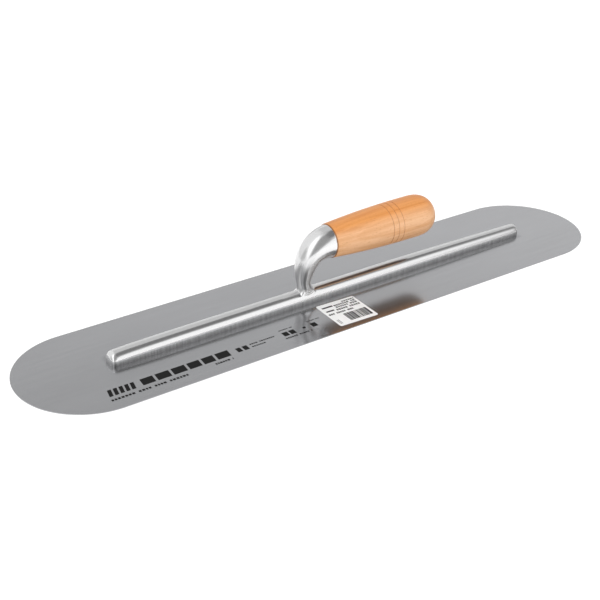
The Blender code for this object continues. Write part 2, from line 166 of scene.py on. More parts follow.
# All of this print is in millimetres: (x0, x1, y0, y1) of a block, (x0, x1, y0, y1, letter, gap) of a line.
EMBLEM_BARS = 5
EMBLEM_BAR = (-246.0, -242.6, -45.0, -35.4)
EMBLEM_PITCH = 5.0
EMBLEM_LEAN = 0.22
NAME_START, NAME_GAP = -216.0, 2.2
NAME_WIDTHS = (11.5, 12.5, 12.5, 11.5, 11.0, 12.5)
NAME_LOW, NAME_HIGH, NAME_LEAN = -44.6, -35.2, 0.10
SIZE_BLOCKS = (
    (-126.0, -121.5, -44.0, -37.4),
    (-119.6, -114.8, -44.0, -37.4),
    (-79.0, -73.5, -43.8, -37.4),
    (-72.0, -66.5, -43.8, -37.4),
    (-58.0, -55.2, -41.6, -38.8),
    (-49.2, -43.6, -43.8, -37.4),
)
BLADE_LINES = (
    (-247.0, -175.0, -51.6, -49.0, 2.3, 0.8),
    (-151.7, -134.6, -50.4, -48.0, 1.9, 0.7),
    (-111.7, -87.0, -39.2, -37.4, 1.5, 0.6),
    (-111.7, -96.0, -43.4, -41.6, 1.5, 0.6),
    (-79.0, -65.0, -34.1, -32.7, 1.2, 0.5),
    (-49.5, -36.0, -34.1, -32.7, 1.2, 0.5),
    (-80.3, -53.3, -48.4, -46.4, 1.6, 0.6),
)
LABEL_LINES = (  # x0, x1 from the left edge, way down from the top edge, height, letter, gap
    (26.0, 39.5, 2.6, 1.9, 1.6, 0.7),
    (15.5, 38.5, 5.6, 2.3, 1.8, 0.7),
    (15.5, 38.5, 9.0, 2.3, 1.8, 0.7),
    (13.5, 38.5, 13.0, 2.5, 1.8, 0.7),
    (2.0, 28.0, 17.8, 2.4, 1.8, 0.5),
)
# Label headings, in mm: from x, to x, way down to the low edge and to the high edge.
LABEL_HEADINGS = ((3.0, 14.3, 7.2, 5.1), (3.0, 11.3, 14.2, 12.2))
SIDE_PRINT = (2.6, 3.4)
SIDE_PRINT_BLOCK = (0.9, 0.8)
SIDE_PRINT_PITCH = (1.5, 1.3)
SIDE_PRINT_COUNT = (2, 6)
STRIPES_START, STRIPES_END = 14.0, 38.4
STRIPES_LOW, STRIPES_HIGH = 4.2, 17.4
STRIPE_WIDTHS = (0.8, 1.5, 2.2)
STRIPE_GAPS = (0.4, 0.7, 1.0)

# ---------------------------------------------------------------- floor, lights and camera
FLOOR_HALF_SIZE = 40.0
FLOOR_GAP = 0.1 * MM
FILLS = (("overhead_fill", 1.02, 25.0, 0.0), ("front_fill", 1.15, 102.0, -20.0))  # strength, tilt and turn
FILL_SPREAD = radians(60.0)
CAMERA_PLACE = Vector((-0.5595, -0.7354, 0.4986))
CAMERA_AZIMUTH = radians(-35.612)
CAMERA_ELEVATION = radians(28.752)
CAMERA_ROLL = radians(-1.057)
CAMERA_LENS = 68.47


# ================================================================ node trees
class Tree:
    """Short calls for building a shader's node tree. Sockets and plain values can be mixed as inputs."""

    def __init__(self, tree):
        self.tree = tree

    def node(self, kind, inputs=None, **settings):
        made = self.tree.nodes.new("ShaderNode" + kind)
        for name, value in settings.items():
            setattr(made, name, value)
        for key, value in (inputs or {}).items():
            if isinstance(value, bpy.types.NodeSocket):
                self.tree.links.new(value, made.inputs[key])
            else:
                made.inputs[key].default_value = value
        return made

    def math(self, operation, first, second=0.0, third=0.0):
        return self.node("Math", {0: first, 1: second, 2: third}, operation=operation).outputs[0]

    def step(self, value, start, end, low=0.0, high=1.0):
        """A smooth step from low, where value is start, to high, where it is end."""
        inputs = {"Value": value, "From Min": start, "From Max": end, "To Min": low, "To Max": high}
        return self.node("MapRange", inputs, interpolation_type="SMOOTHSTEP").outputs[0]

    def blend(self, factor, first, second):
        """Mixes two numbers."""
        return self.node("Mix", {0: factor, 2: first, 3: second}, data_type="FLOAT").outputs[0]

    def tint(self, factor, first, second, blend_type="MIX"):
        """Mixes two colours."""
        inputs = {0: factor, 6: first, 7: second}
        return self.node("Mix", inputs, data_type="RGBA", blend_type=blend_type).outputs[2]

    def stretched(self, source, scale, turn=(0.0, 0.0, 0.0)):
        inputs = {"Vector": source, "Scale": scale, "Rotation": turn}
        return self.node("Mapping", inputs).outputs[0]

    def noise(self, vector, scale, detail=2.0, roughness=0.5, distortion=0.0):
        inputs = {"Vector": vector, "Scale": scale, "Detail": detail, "Roughness": roughness}
        inputs["Distortion"] = distortion
        return self.node("TexNoise", inputs).outputs["Fac"]

    def bump(self, height, distance, strength=1.0, normal=None):
        inputs = {"Height": height, "Distance": distance, "Strength": strength}
        if normal is not None:
            inputs["Normal"] = normal
        return self.node("Bump", inputs).outputs[0]


def grey(value):
    return (value, value, value, 1.0)


def new_material(name):
    """A material with an empty Principled shader, and its tree."""
    made = bpy.data.materials.new(name)
    made.use_nodes = True
    return made, Tree(made.node_tree), made.node_tree.nodes["Principled BSDF"]


def plug(tree, shader, **inputs):
    """Links or sets inputs of a shader, named with _ for each space."""
    for name, value in inputs.items():
        socket = shader.inputs[name.replace("_", " ")]
        if isinstance(value, bpy.types.NodeSocket):
            tree.tree.links.new(value, socket)
        else:
            socket.default_value = value


# ================================================================ materials
def blade_material():
    """Cold-rolled spring steel: a fine lengthwise grain, faint clouds, a few hairline scratches, and
    painted shade on its upper face beside the bar."""
    made, tree, shader = new_material("brushed_spring_steel")
    place = tree.node("TexCoord").outputs["Object"]
    clouds = tree.noise(tree.stretched(place, (7.0, 16.0, 1.0)), 1.0, 3.0, 0.55)
    bands = tree.noise(tree.stretched(place, (6.0, 260.0, 1.0)), 1.0, 3.0, 0.6)
    grain = tree.noise(tree.stretched(place, (90.0, 5200.0, 1.0)), 1.0, 2.0, 0.5)
    hairs = tree.noise(tree.stretched(place, (3.0, 1500.0, 1.0), (0.0, 0.0, radians(3.0))), 1.0, 1.0, 0.5)
    scratch = tree.step(hairs, 0.70, 0.78)
    level = tree.math("MULTIPLY_ADD", clouds, 0.08, 0.365)
    level = tree.math("MULTIPLY_ADD", bands, 0.05, level)
    level = tree.math("MULTIPLY_ADD", grain, 0.05, level)
    level = tree.math("MULTIPLY_ADD", scratch, -0.03, level)
    parts = tree.node("SeparateXYZ", {"Vector": place}).outputs
    across = tree.math("ABSOLUTE", parts["Y"])
    # Painted shade: the upper face is darkened in a band on each side of the bar.
    painted_bar_shade = tree.step(across, 9.0 * MM, 15.0 * MM, 0.28, 0.0)
    start, end = BAR_STATIONS[0][0], BAR_STATIONS[-1][0]
    painted_bar_shade = tree.math("MULTIPLY", painted_bar_shade, tree.step(parts["X"], start - 4.0 * MM, start + 6.0 * MM))
    painted_bar_shade = tree.math("MULTIPLY", painted_bar_shade, tree.step(parts["X"], end - 6.0 * MM, end + 4.0 * MM, 1.0, 0.0))
    painted_bar_shade = tree.math("MULTIPLY", painted_bar_shade, tree.step(parts["Z"], 0.4 * BLADE_TOP, 0.8 * BLADE_TOP))
    level = tree.math("MULTIPLY", level, tree.math("SUBTRACT", 1.0, painted_bar_shade))
    colour = tree.tint(level, (0.0, 0.0, 0.0, 1.0), (0.975, 0.985, 1.015, 1.0))
    rough = tree.math("MULTIPLY_ADD", grain, 0.08, 0.09)
    rough = tree.math("MULTIPLY_ADD", clouds, 0.05, rough)
    normal = tree.bump(grain, 0.001 * MM, 0.6)
    plug(tree, shader, Base_Color=colour, Metallic=1.0, Roughness=rough, Normal=normal)
    plug(tree, shader, Coat_Weight=1.0, Coat_Roughness=0.5, Coat_IOR=1.45)
    return made


def aluminium_material():
    """Cast aluminium polished on a belt: bright, with fine lines along the bar and round its bend. The bar's
    flat sides, where the belt doesn't reach, stay grey and dull, darker towards their foot, and the root of
    the neck carries dark streaks of painted reflection."""
    made, tree, shader = new_material("belt_polished_aluminium")
    place = tree.node("TexCoord").outputs["UV"]
    solid = tree.node("TexCoord").outputs["Object"]
    height = tree.node("SeparateXYZ", {"Vector": solid}).outputs["Z"]
    lines = tree.noise(tree.stretched(place, (60.0, 2600.0, 1.0)), 1.0, 2.0, 0.55)
    coarse = tree.noise(tree.stretched(place, (25.0, 700.0, 1.0)), 1.0, 2.0, 0.5)
    belt = tree.noise(tree.stretched(place, (620.0, 90.0, 1.0), (0.0, 0.0, radians(38.0))), 1.0, 2.0, 0.6)
    clouds = tree.noise(solid, 60.0, 3.0, 0.6)
    streaks = tree.noise(tree.stretched(place, (10.0, 420.0, 1.0)), 1.0, 3.0, 0.6)
    root = tree.step(height, 28.0 * MM, 58.0 * MM, 1.0, 0.0)
    root = tree.math("MULTIPLY", root, tree.step(height, 12.0 * MM, 14.0 * MM))
    dull = tree.step(tree.math("MULTIPLY_ADD", clouds, 0.8 * MM, height), 4.7 * MM, 6.1 * MM, 1.0, 0.0)
    level = tree.math("MULTIPLY_ADD", clouds, 0.05, 0.79)
    level = tree.math("MULTIPLY_ADD", lines, 0.08, level)
    # The dull sides are darker towards their foot.
    dull_side_level = tree.math("MULTIPLY_ADD", belt, 0.70, tree.step(height, 1.0 * MM, 4.5 * MM, 0.21, 0.30))
    level = tree.blend(dull, level, dull_side_level)
    # Painted reflection: dark streaks in the colour at the root of the neck.
    level = tree.blend(root, level, tree.math("MULTIPLY_ADD", streaks, 0.9, 0.12))
    colour = tree.tint(level, (0.0, 0.0, 0.0, 1.0), (1.0, 1.0, 1.005, 1.0))
    rough = tree.math("MULTIPLY_ADD", lines, 0.12, 0.10)
    rough = tree.math("MULTIPLY_ADD", clouds, 0.06, rough)
    rough = tree.blend(dull, rough, 0.42)
    rough = tree.blend(tree.math("MULTIPLY", root, 0.8), rough, 0.34)
    relief = tree.math("MULTIPLY_ADD", coarse, 2.0, tree.math("MULTIPLY", belt, 1.2))
    relief = tree.math("ADD", lines, relief)
    relief = tree.math("MULTIPLY_ADD", streaks, tree.math("MULTIPLY_ADD", root, 22.0, 6.0), relief)
    normal = tree.bump(relief, 0.004 * MM, 0.7)
    plug(tree, shader, Base_Color=colour, Metallic=1.0, Roughness=rough, Normal=normal)
    plug(tree, shader, Coat_Weight=1.0, Coat_Roughness=0.5, Coat_IOR=1.4)
    return made


def beech_material():
    """Lacquered beech: growth rings that run out along the turning, fibres, short dark rays, darker brown
    lines in the grooves and a dark line of painted shade at the front edge, where it meets the neck.
    Painted light makes it paler on its flanks (painted sheen), a brighter orange low on its sides, and
    painted shade darkens its underside."""
    made, tree, shader = new_material("lacquered_beech")
    place = tree.node("TexCoord").outputs["Object"]
    parts = tree.node("SeparateXYZ", {"Vector": place}).outputs
    along = parts["X"]
    depth = tree.math("SUBTRACT", HANDLE_AXIS_Z, parts["Z"])
    squares = [tree.math("MULTIPLY", value, value) for value in (depth, parts["Y"])]
    radius = tree.math("SQRT", tree.math("ADD", *squares))
    underside = tree.math("DIVIDE", depth, radius)
    flank = tree.math("DIVIDE", tree.math("ABSOLUTE", parts["Y"]), radius)
    sway = tree.noise(tree.stretched(place, (9.0, 22.0, 22.0)), 1.0, 2.0, 0.5)
    leaning = tree.stretched(place, (6.0, 100.0, 100.0), (radians(18.0), 0.0, radians(0.6)))
    waves = {"Vector": leaning, "Scale": 1.3, "Distortion": 3.0}
    waves |= {"Detail": 2.0, "Detail Scale": 0.6, "Detail Roughness": 0.5}
    bands = {"wave_type": "BANDS", "bands_direction": "Y", "wave_profile": "SAW"}
    rings = tree.node("TexWave", waves, **bands).outputs["Fac"]
    fibres = tree.noise(tree.stretched(place, (55.0, 1500.0, 1500.0)), 1.0, 3.0, 0.6)
    rays = tree.noise(tree.stretched(place, (420.0, 2300.0, 2300.0)), 1.0, 1.0, 0.5)
    ray = tree.step(rays, 0.62, 0.72)
    figure = tree.step(tree.noise(tree.stretched(place, (9.0, 240.0, 240.0)), 1.0, 3.0, 0.65), 0.36, 0.66)
    colour = tree.tint(sway, (0.78, 0.315, 0.085, 1.0), (0.88, 0.385, 0.12, 1.0))
    # Painted sheen: the colour is paler towards the flanks.
    colour = tree.tint(tree.step(flank, 0.50, 0.98, 0.0, 0.74), colour, (0.95, 0.635, 0.41, 1.0))
    # Painted light: a brighter orange low on the sides.
    colour = tree.tint(tree.step(underside, 0.40, 0.78, 0.0, 0.8), colour, (1.0, 0.52, 0.21, 1.0))
    colour = tree.tint(tree.math("MULTIPLY", rings, 0.40), colour, (0.90, 0.80, 0.70, 1.0), "MULTIPLY")
    colour = tree.tint(tree.math("MULTIPLY", figure, 0.7), colour, (0.82, 0.68, 0.52, 1.0), "MULTIPLY")
    colour = tree.tint(tree.math("MULTIPLY", fibres, 0.28), colour, (0.93, 0.47, 0.19, 1.0))
    colour = tree.tint(tree.math("MULTIPLY", ray, 0.45), colour, (0.50, 0.18, 0.05, 1.0))
    # Painted shade: dark along the underside, fading out towards the butt.
    painted_underside_shade = tree.step(underside, 0.78, 0.885, 0.0, 0.92)
    painted_underside_shade = tree.math("MULTIPLY", painted_underside_shade, tree.step(radius, 10.0 * MM, 16.0 * MM))
    colour = tree.tint(painted_underside_shade, colour, (0.16, 0.12, 0.10, 1.0))
    # Painted shade: a dark line at the front edge, where the handle meets the neck. The grooves get darker
    # brown lines.
    groove_lines_and_gap_shade = tree.step(along, HANDLE_FRONT_X + 0.2 * MM, HANDLE_FRONT_X + 0.8 * MM, 0.85, 0.0)
    for groove in GROOVES_X:
        away = tree.math("ABSOLUTE", tree.math("SUBTRACT", along, groove))
        groove_lines_and_gap_shade = tree.math("MAXIMUM", groove_lines_and_gap_shade, tree.step(away, 0.10 * MM, 0.65 * MM, 0.55, 0.0))
    groove_lines_and_gap_shade = tree.math("MULTIPLY", groove_lines_and_gap_shade, tree.step(sway, 0.35, 0.65, 0.55, 1.0))
    colour = tree.tint(groove_lines_and_gap_shade, colour, (0.20, 0.06, 0.02, 1.0))
    rough = tree.math("MULTIPLY_ADD", fibres, 0.14, 0.27)
    height = tree.math("MULTIPLY_ADD", ray, -1.5, fibres)
    normal = tree.bump(height, 0.02 * MM, 0.5)
    plug(tree, shader, Base_Color=colour, Roughness=rough, Normal=normal, IOR=1.5, Specular_IOR_Level=0.4)
    return made


def zinc_material():
    """Bright zinc plating with a slight mottle."""
    made, tree, shader = new_material("zinc_plating")
    place = tree.node("TexCoord").outputs["Object"]
    mottle = tree.noise(place, 900.0, 3.0, 0.6)
    colour = tree.tint(mottle, (0.52, 0.52, 0.50, 1.0), (0.70, 0.69, 0.66, 1.0))
    rough = tree.math("MULTIPLY_ADD", mottle, 0.20, 0.22)
    normal = tree.bump(mottle, 0.01 * MM, 0.5)
    plug(tree, shader, Base_Color=colour, Metallic=1.0, Roughness=rough, Normal=normal)
    return made


def rivet_material():
    """Rivet steel ground flush with the blade, with lengthwise scuffs."""
    made, tree, shader = new_material("ground_rivet_steel")
    place = tree.node("TexCoord").outputs["Object"]
    scuffs = tree.noise(tree.stretched(place, (300.0, 4200.0, 1.0)), 1.0, 3.0, 0.6)
    colour = tree.tint(scuffs, grey(0.42), grey(0.60))
    rough = tree.math("MULTIPLY_ADD", scuffs, 0.18, 0.24)
    normal = tree.bump(scuffs, 0.004 * MM, 0.6)
    plug(tree, shader, Base_Color=colour, Metallic=1.0, Roughness=rough, Normal=normal)
    return made


def paper_material():
    """Coated white label stock with a faint fibre."""
    made, tree, shader = new_material("coated_paper")
    place = tree.node("TexCoord").outputs["Object"]
    fibre = tree.noise(place, 1800.0, 3.0, 0.7)
    clouds = tree.noise(place, 90.0, 2.0, 0.5)
    colour = tree.tint(fibre, grey(0.95), grey(0.99))
    colour = tree.tint(tree.math("MULTIPLY", clouds, 0.12), colour, (0.90, 0.90, 0.92, 1.0))
    rough = tree.math("MULTIPLY_ADD", fibre, 0.15, 0.38)
    normal = tree.bump(fibre, 0.01 * MM, 0.4)
    plug(tree, shader, Base_Color=colour, Roughness=rough, Normal=normal)
    return made


def ink_material(name, level):
    """Printing ink with slightly uneven cover."""
    made, tree, shader = new_material(name)
    place = tree.node("TexCoord").outputs["Object"]
    cover = tree.noise(place, 2500.0, 2.0, 0.6)
    colour = tree.tint(cover, grey(level), grey(level * 2.2))
    rough = tree.math("MULTIPLY_ADD", cover, 0.2, 0.40)
    plug(tree, shader, Base_Color=colour, Roughness=rough, Specular_IOR_Level=0.12)
    return made


# ================================================================ meshes
def mesh_from(bm, name):
    bmesh.ops.recalc_face_normals(bm, faces=bm.faces)
    mesh = bpy.data.meshes.new(name)
    bm.to_mesh(mesh)
    bm.free()
    return mesh


def piece(name, mesh, finish, stands_for=(), smooth_angle=30.0):
    """Makes a visible piece in its place, riding on the trowel."""
    mesh.materials.clear()
    mesh.materials.append(finish)
    mesh.shade_smooth()
    mesh.set_sharp_from_angle(angle=radians(smooth_angle))
    obj = bpy.data.objects.new(name, mesh)
    bpy.context.scene.collection.objects.link(obj)
    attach(obj, "root")
    if stands_for:
        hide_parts(*stands_for)
    return obj


def applied(mesh, *modifiers):
    """The mesh with modifiers applied: each is (type, settings)."""
    obj = bpy.data.objects.new("scratch", mesh)
    bpy.context.scene.collection.objects.link(obj)
    for kind, settings in modifiers:
        modifier = obj.modifiers.new(kind, kind)
        for name, value in settings.items():
            setattr(modifier, name, value)
    graph = bpy.context.evaluated_depsgraph_get()
    final = obj.evaluated_get(graph)
    made = bpy.data.meshes.new_from_object(final, preserve_all_data_layers=True, depsgraph=graph)
    bpy.data.objects.remove(obj)
    return made


def cut(mesh, cutter):
    """The mesh minus a closed cutter mesh."""
    tool = bpy.data.objects.new("cutter", cutter)
    bpy.context.scene.collection.objects.link(tool)
    made = applied(mesh, ("BOOLEAN", {"operation": "DIFFERENCE", "solver": "EXACT", "object": tool}))
    bpy.data.objects.remove(tool)
    return made


def turned_mesh(name, profile, steps, closed=False):
    """Turns (x, radius) points about the X axis."""
    bm = bmesh.new()
    loop = [bm.verts.new((x, 0.0, radius)) for x, radius in profile]
    pairs = list(zip(loop, loop[1:]))
    if closed:
        pairs.append((loop[-1], loop[0]))
    edges = [bm.edges.new(pair) for pair in pairs]
    middle = (0.0, 0.0, 0.0)
    spin = {"cent": middle, "axis": (1.0, 0.0, 0.0), "angle": 2.0 * pi, "steps": steps, "use_merge": True}
    bmesh.ops.spin(bm, geom=loop + edges, **spin)
    bmesh.ops.remove_doubles(bm, verts=bm.verts, dist=0.0005 * MM)
    return mesh_from(bm, name)


def arc(centre, radius, start, end, steps):
    """Points of an arc in the (x, radius) plane, by angle from +x."""
    turns = [start + (end - start) * step / steps for step in range(steps + 1)]
    return [(centre[0] + radius * cos(turn), centre[1] + radius * sin(turn)) for turn in turns]


def stand_up(mesh):
    mesh.transform(Matrix.Rotation(-pi / 2.0, 4, "Y"))
    return mesh


def rivet_places():
    """The middle of each rivet in the frame."""
    boxes = [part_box(name) for name in RIVETS]
    return [(low.x + high.x) / 2.0 for low, high in boxes]


def pins(profile):
    """Equal upright pins at the rivets' places, in one mesh."""
    bm = bmesh.new()
    single = stand_up(turned_mesh("pin", profile, RIVET_STEPS))
    for x in rivet_places():
        copy = single.copy()
        copy.transform(Matrix.Translation((x, 0.0, 0.0)))
        bm.from_mesh(copy)
    return mesh_from(bm, "pins")


def make_blade(finish):
    """The blade, with a fine bevel round both faces and countersunk holes."""
    turns = [pi * step / BLADE_END_STEPS - pi / 2.0 for step in range(BLADE_END_STEPS + 1)]
    outline = [(BLADE_MIDDLE + BLADE_RADIUS * cos(turn), BLADE_RADIUS * sin(turn)) for turn in turns]
    outline += [(-x, -y) for x, y in outline]
    bm = bmesh.new()
    face = bm.faces.new([bm.verts.new((x, y, 0.0)) for x, y in outline])
    raised = bmesh.ops.extrude_face_region(bm, geom=[face])
    top = [item for item in raised["geom"] if isinstance(item, bmesh.types.BMVert)]
    bmesh.ops.translate(bm, verts=top, vec=(0.0, 0.0, BLADE_TOP))
    bevel = {"width": EDGE_BEVEL, "segments": 2, "limit_method": "ANGLE", "angle_limit": radians(60.0)}
    mesh = applied(mesh_from(bm, "blade"), ("BEVEL", bevel))
    slope = (RIVET_HEAD_RADIUS - RIVET_RADIUS) / BLADE_TOP
    wide, narrow = RIVET_HEAD_RADIUS + RIVET_GAP, RIVET_RADIUS + RIVET_GAP
    below, above = -1.0 * MM, BLADE_TOP + 1.0 * MM
    profile = [(below, 0.0), (below, wide - slope * below)]
    profile += [(BLADE_TOP, narrow), (above, narrow), (above, 0.0)]
    return piece("blade_plate", cut(mesh, pins(profile)), finish, ["blade"], 10.0)


def make_rivets(finish):
    """Countersunk rivets, each with its head flush with the blade's underside."""
    profile = (
        (0.0, 0.0),
        (0.0, RIVET_HEAD_RADIUS - RIVET_RIM),
        (RIVET_RIM, RIVET_HEAD_RADIUS),
        (BLADE_TOP, RIVET_RADIUS),
        (RIVET_LENGTH - RIVET_TIP, RIVET_RADIUS),
        (RIVET_LENGTH, RIVET_RADIUS - RIVET_TIP),
        (RIVET_LENGTH, 0.0),
    )
    for name, x in zip(RIVETS, rivet_places()):
        mesh = stand_up(turned_mesh(name, profile, RIVET_STEPS))
        mesh.transform(Matrix.Translation((x, 0.0, 0.0)))
        piece("flush_" + name, mesh, finish, [name])


# ---------------------------------------------------------------- mounting
def bar_size(x):
    """Half width and height of the bar at x, between the stations that it is given at."""
    for (x0, width0, height0), (x1, width1, height1) in zip(BAR_STATIONS, BAR_STATIONS[1:]):
        if x <= x1:
            part = (x - x0) / (x1 - x0)
            return width0 + (width1 - width0) * part, height0 + (height1 - height0) * part
    return BAR_STATIONS[-1][1:]


def cage_factor(corners):
    """How much a subdivided ring of this many corners shrinks."""
    return (2.0 + cos(2.0 * pi / corners)) / 3.0


def bar_section(x, width_share, height_share):
    """The bar's D section: base middle, base corner at -Y, the round top, base corner at +Y."""
    half_width, height = bar_size(x)
    height += BLADE_TOP + BAR_LIFT - BAR_BASE
    wall = height - half_width
    radius = half_width / cage_factor(2 * ARC_CORNERS)
    turns = [pi * step / ARC_CORNERS for step in range(ARC_CORNERS + 1)]
    flat = [(0.0, 0.0), (-half_width, 0.0)]
    flat += [(-radius * cos(turn), wall + radius * sin(turn)) for turn in turns]
    flat.append((half_width, 0.0))
    return [Vector((x, y * width_share, BAR_BASE + z * height_share)) for y, z in flat]


def bar_cuts():
    """(x, share of the width, share of the height) of each ring of the bar's cage, with its rounded ends."""
    start, end = BAR_STATIONS[0][0], BAR_STATIONS[-1][0]
    foot = [NECK_FOOT.x + offset for offset in FOOT_CUTS]
    cuts = [(start + inward, *shares) for inward, *shares in NEAR_END_ROUNDING]
    cuts += [(x, 1.0, 1.0) for x in sorted((*BAR_CUTS, *foot))]
    cuts += [(end - inward, *shares) for inward, *shares in reversed(FAR_END_ROUNDING)]
    return cuts


def neck_point(way):
    """Centre, normal and radius of the gooseneck at this way along its curve."""
    back = 1.0 - way
    centre = (
        back**3 * NECK_FOOT
        + 3.0 * back**2 * way * NECK_RISE
        + 3.0 * back * way**2 * NECK_TURN
        + way**3 * NECK_END
    )
    along = (
        back**2 * (NECK_RISE - NECK_FOOT)
        + 2.0 * back * way * (NECK_TURN - NECK_RISE)
        + way**2 * (NECK_END - NECK_TURN)
    ).normalized()
    normal = Vector((along.z, 0.0, -along.x))
    radius = NECK_FOOT_RADIUS + (NECK_END_RADIUS - NECK_FOOT_RADIUS) * way**NECK_GROWTH
    return centre, normal, radius


def neck_rings():
    """(centre, normal, half size along the normal, half size along Y, crease) of each ring of the cage."""
    rings = []
    for way, shift, along_x, along_y, _ in ROOT_RINGS:
        centre, normal, _ = neck_point(way)
        rings.append((centre + normal * shift, normal, along_x, along_y, 0.0))
    for way in NECK_RINGS:
        centre, normal, radius = neck_point(way)
        rings.append((centre, normal, radius, radius, 0.0))
    tang = (
        (NECK_END_X, NECK_END_RADIUS, 0.9),
        (NECK_END_X, TANG_RADIUS, 1.0),
        (TANG_END_X, TANG_RADIUS, 1.0),
        (TANG_END_X, SCREW_BORE_RADIUS, 1.0),
        (SCREW_BORE_START_X, SCREW_BORE_RADIUS, 1.0),
    )
    down = Vector((0.0, 0.0, -1.0))
    for x, radius, crease in tang:
        rings.append((Vector((x, 0.0, HANDLE_AXIS_Z)), down, radius, radius, crease))
    return rings


def map_face(face, layer, corners):
    """Gives a face its place on the polishing map: (along, around) of each corner, in metres."""
    for loop, place in zip(face.loops, corners):
        loop[layer].uv = place


def bar_cage(bm, layer):
    """The bar's faces, open at the top where the neck grows. Returns its rings and that opening's edge."""
    cuts = bar_cuts()
    rings = [[bm.verts.new(point) for point in bar_section(*place)] for place in cuts]
    count = len(rings[0])
    first = min(range(len(cuts)), key=lambda i: abs(cuts[i][0] - (NECK_FOOT.x + FOOT_CUTS[0])))
    last = first + len(FOOT_CUTS) - 1
    crest = 2 + ARC_CORNERS // 2
    low, high = crest - FOOT_FACES_ACROSS // 2, crest + FOOT_FACES_ACROSS // 2
    face_width = pi * BAR_STATIONS[1][1] / ARC_CORNERS
    for i in range(len(rings) - 1):
        for j in range(count):
            if first <= i < last and low <= j < high:
                continue
            k = (j + 1) % count
            face = bm.faces.new((rings[i][j], rings[i][k], rings[i + 1][k], rings[i + 1][j]))
            x0, x1, v = cuts[i][0], cuts[i + 1][0], j * face_width
            map_face(face, layer, ((x0, v), (x0, v + face_width), (x1, v + face_width), (x1, v)))
    bm.faces.new(rings[0])
    bm.faces.new(reversed(rings[-1]))
    for i in range(first + 1, last):
        for j in range(low + 1, high):
            bm.verts.remove(rings[i][j])

    # The opening's edge, in turn from +X through +Y, -X and -Y.
    walk = [(last, j) for j in range(crest, high + 1)]
    walk += [(i, high) for i in range(last - 1, first - 1, -1)]
    walk += [(first, j) for j in range(high - 1, low - 1, -1)]
    walk += [(i, low) for i in range(first + 1, last + 1)]
    walk += [(last, j) for j in range(low + 1, crest)]
    return rings, [rings[i][j] for i, j in walk]


def neck_cage(bm, layer, opening):
    """The neck's and tang's faces, from the opening in the bar upwards. Returns the edges to crease."""
    corners = len(opening)
    factor = cage_factor(corners)
    creases = []
    below = opening
    fillet_corners = (FOOT_FACES_ACROSS // 2, corners - FOOT_FACES_ACROSS // 2)
    outer_start = fillet_corners[0] + len(FOOT_CUTS) - 1
    for step in range(outer_start, outer_start + FOOT_FACES_ACROSS):
        creases.append((opening[step], opening[step + 1], OUTER_ROOT_CREASE))
    along, before = 0.0, NECK_FOOT
    face_width = 2.0 * pi * NECK_MAP_RADIUS / corners
    for index, (centre, normal, along_normal, along_y, crease) in enumerate(neck_rings()):
        ring = []
        for step in range(corners):
            turn = 2.0 * pi * step / corners
            out = normal * (along_normal * cos(turn) / factor)
            out += Vector((0.0, along_y * sin(turn) / factor, 0.0))
            ring.append(bm.verts.new(centre + out))
        after_along = along + (centre - before).length
        for step in range(corners):
            after = (step + 1) % corners
            face = bm.faces.new((below[step], below[after], ring[after], ring[step]))
            v0, v1 = step * face_width, (step + 1) * face_width
            map_face(face, layer, ((along, v0), (along, v1), (after_along, v1), (after_along, v0)))
            if crease:
                creases.append((ring[step], ring[after], crease))
        if index < len(ROOT_RINGS):
            creases += [(below[step], ring[step], ROOT_RINGS[index][-1]) for step in fillet_corners]
        below, along, before = ring, after_along, centre
    bm.faces.new(below)
    return creases


def make_mounting(finish):
    """The casting: its cage smoothed, with a blind hole over each rivet."""
    bm = bmesh.new()
    layer = bm.loops.layers.uv.new("polish")
    rings, opening = bar_cage(bm, layer)
    creases = neck_cage(bm, layer, opening)
    base_corners = (1, len(rings[0]) - 1)
    creases += [(a[j], b[j], 1.0) for a, b in zip(rings, rings[1:]) for j in base_corners]
    creases += [(end[0], end[j], 1.0) for end in (rings[0], rings[-1]) for j in base_corners]
    crease_layer = bm.edges.layers.float.new("crease_edge")
    for first, second, crease in creases:
        bm.edges.get((first, second))[crease_layer] = crease
    smooth = {"levels": MOUNTING_LEVELS, "render_levels": MOUNTING_LEVELS}
    mesh = applied(mesh_from(bm, "mounting"), ("SUBSURF", smooth))
    below, above = BAR_BASE - 1.0 * MM, RIVET_LENGTH + RIVET_GAP
    wide = RIVET_RADIUS + RIVET_GAP
    mesh = cut(mesh, pins(((below, 0.0), (below, wide), (above, wide), (above, 0.0))))
    return piece("mounting_casting", mesh, finish, ["mounting"], 40.0)


# ---------------------------------------------------------------- handle
def handle_radius(x):
    """Outer radius of the handle: a slow swell from the front, then a rounded butt."""
    if x <= HANDLE_TAPER_END_X:
        left = (HANDLE_TAPER_END_X - x) / (HANDLE_TAPER_END_X - HANDLE_FRONT_X)
        return HANDLE_RADIUS - (HANDLE_RADIUS - HANDLE_FRONT_RADIUS) * left**HANDLE_TAPER_POWER
    part = min(1.0, (x - HANDLE_TAPER_END_X) / HANDLE_BUTT_LENGTH)
    return HANDLE_RADIUS * (1.0 - part**HANDLE_BUTT_POWER) ** (1.0 / HANDLE_BUTT_POWER)


def turned_radius(x):
    """The outer radius with the grooves cut, their lips eased."""
    radius = handle_radius(x)
    for groove in GROOVES_X:
        away = min(1.0, abs(x - groove) / (GROOVE_HALF_WIDTH * 1.25))
        radius -= GROOVE_DEPTH * (1.0 - away) ** 1.3
    return radius


